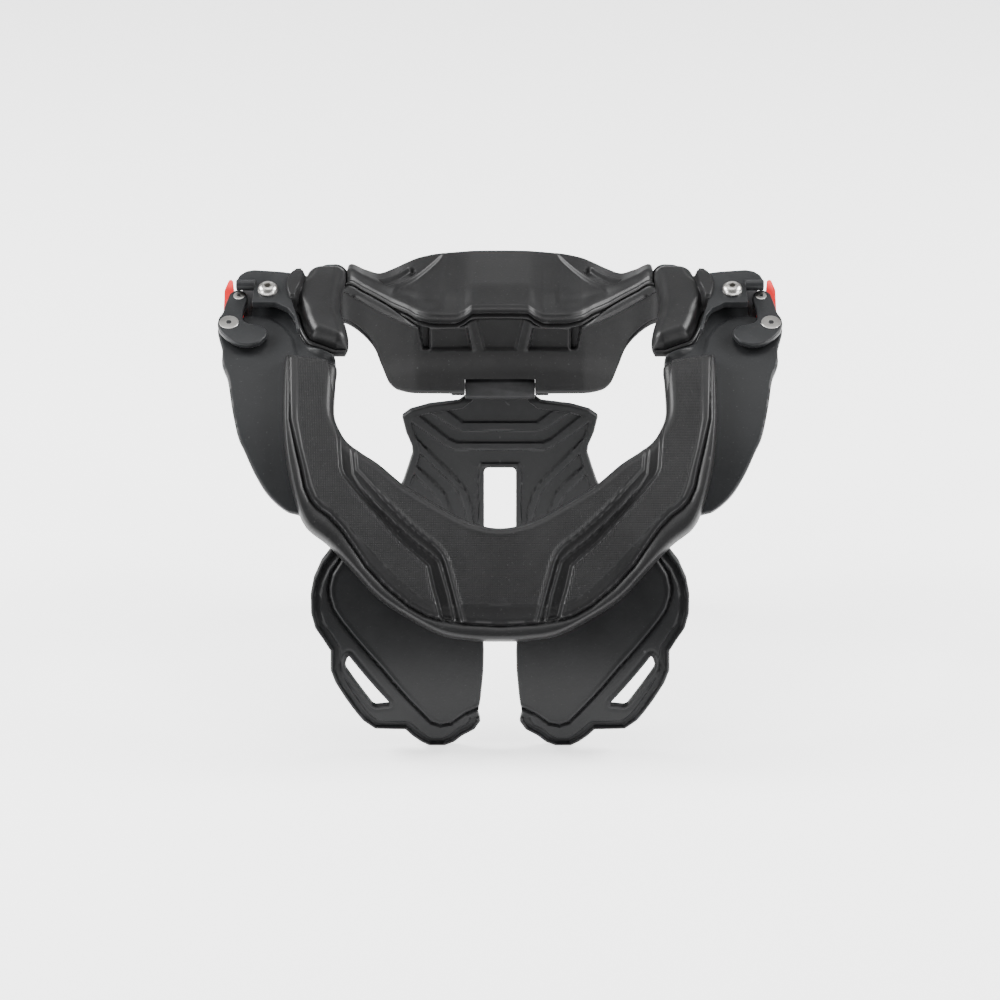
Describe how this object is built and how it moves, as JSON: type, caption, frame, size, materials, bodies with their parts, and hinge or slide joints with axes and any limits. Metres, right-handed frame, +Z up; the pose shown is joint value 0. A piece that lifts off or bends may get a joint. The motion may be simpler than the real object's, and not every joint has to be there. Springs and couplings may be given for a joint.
{
  "type": "motocross neck brace",
  "caption": "Motocross neck brace: open horseshoe front collar with side wings, raised rear collar, side clamps, chest flaps and a hinged back plate.",
  "frame": {"origin": "on the floor below the centre of the bounding box", "axes": "+X to the right seen from the front, the front faces -Y, +Z up"},
  "size_m": [0.29, 0.2406, 0.2027],
  "materials": {
    "foam": "matt moulded closed-cell foam",
    "shell": "satin moulded plastic",
    "flap": "matt moulded plastic",
    "lever": "satin moulded plastic",
    "steel": "bright screws",
    "red": "smooth red plastic"
  },
  "bodies": {
    "rear_half": {"rear_frame": "shell", "rear_top_pad": "foam", "rear_face_pad": "foam", "shoulder_pad_left": "foam", "shoulder_pad_right": "foam", "clamp_housing_left": "shell", "clamp_housing_right": "shell", "pivot_screw_left": "steel", "pivot_screw_right": "steel", "hinge_pin": "steel"},
    "front_half": {"front_frame": "shell", "front_pad": "foam", "chest_plate_left": "flap", "chest_plate_right": "flap"},
    "left_lever": {"latch_lever_left": "lever", "lever_screw_left": "steel", "link_screw_left": "steel"},
    "right_lever": {"latch_lever_right": "lever", "lever_screw_right": "steel", "link_screw_right": "steel"},
    "left_link": {"release_link_left": "red"},
    "right_link": {"release_link_right": "red"},
    "back_support": {"back_plate": "flap"}
  },
  "joints": [
    {"name": "front_swing", "type": "hinge", "parent": "rear_half", "child": "front_half", "pos_m": [-0.1198, 0.03137, 0.18918], "axis": [0, 0.3746, -0.9272], "range_deg": [0, 35]},
    {"name": "left_lever_turn", "type": "hinge", "parent": "front_half", "child": "left_lever", "pos_m": [-0.1391, 0.01292, 0.18173], "axis": [0, -0.3746, 0.9272], "range_deg": [0, 25]},
    {"name": "right_lever_turn", "type": "hinge", "parent": "front_half", "child": "right_lever", "pos_m": [0.1391, 0.01292, 0.18173], "axis": [0, 0.3746, -0.9272], "range_deg": [0, 25]},
    {"name": "left_link_turn", "type": "hinge", "parent": "left_lever", "child": "left_link", "pos_m": [-0.1349, 0.0322, 0.18952], "axis": [0, -0.3746, 0.9272], "range_deg": [0, 10]},
    {"name": "right_link_turn", "type": "hinge", "parent": "right_lever", "child": "right_link", "pos_m": [0.1349, 0.0322, 0.18952], "axis": [0, 0.3746, -0.9272], "range_deg": [0, 10]},
    {"name": "back_plate_fold", "type": "hinge", "parent": "rear_half", "child": "back_support", "pos_m": [0, 0.08133, 0.1244], "axis": [-1, 0, 0], "range_deg": [0, 62]}
  ]
}
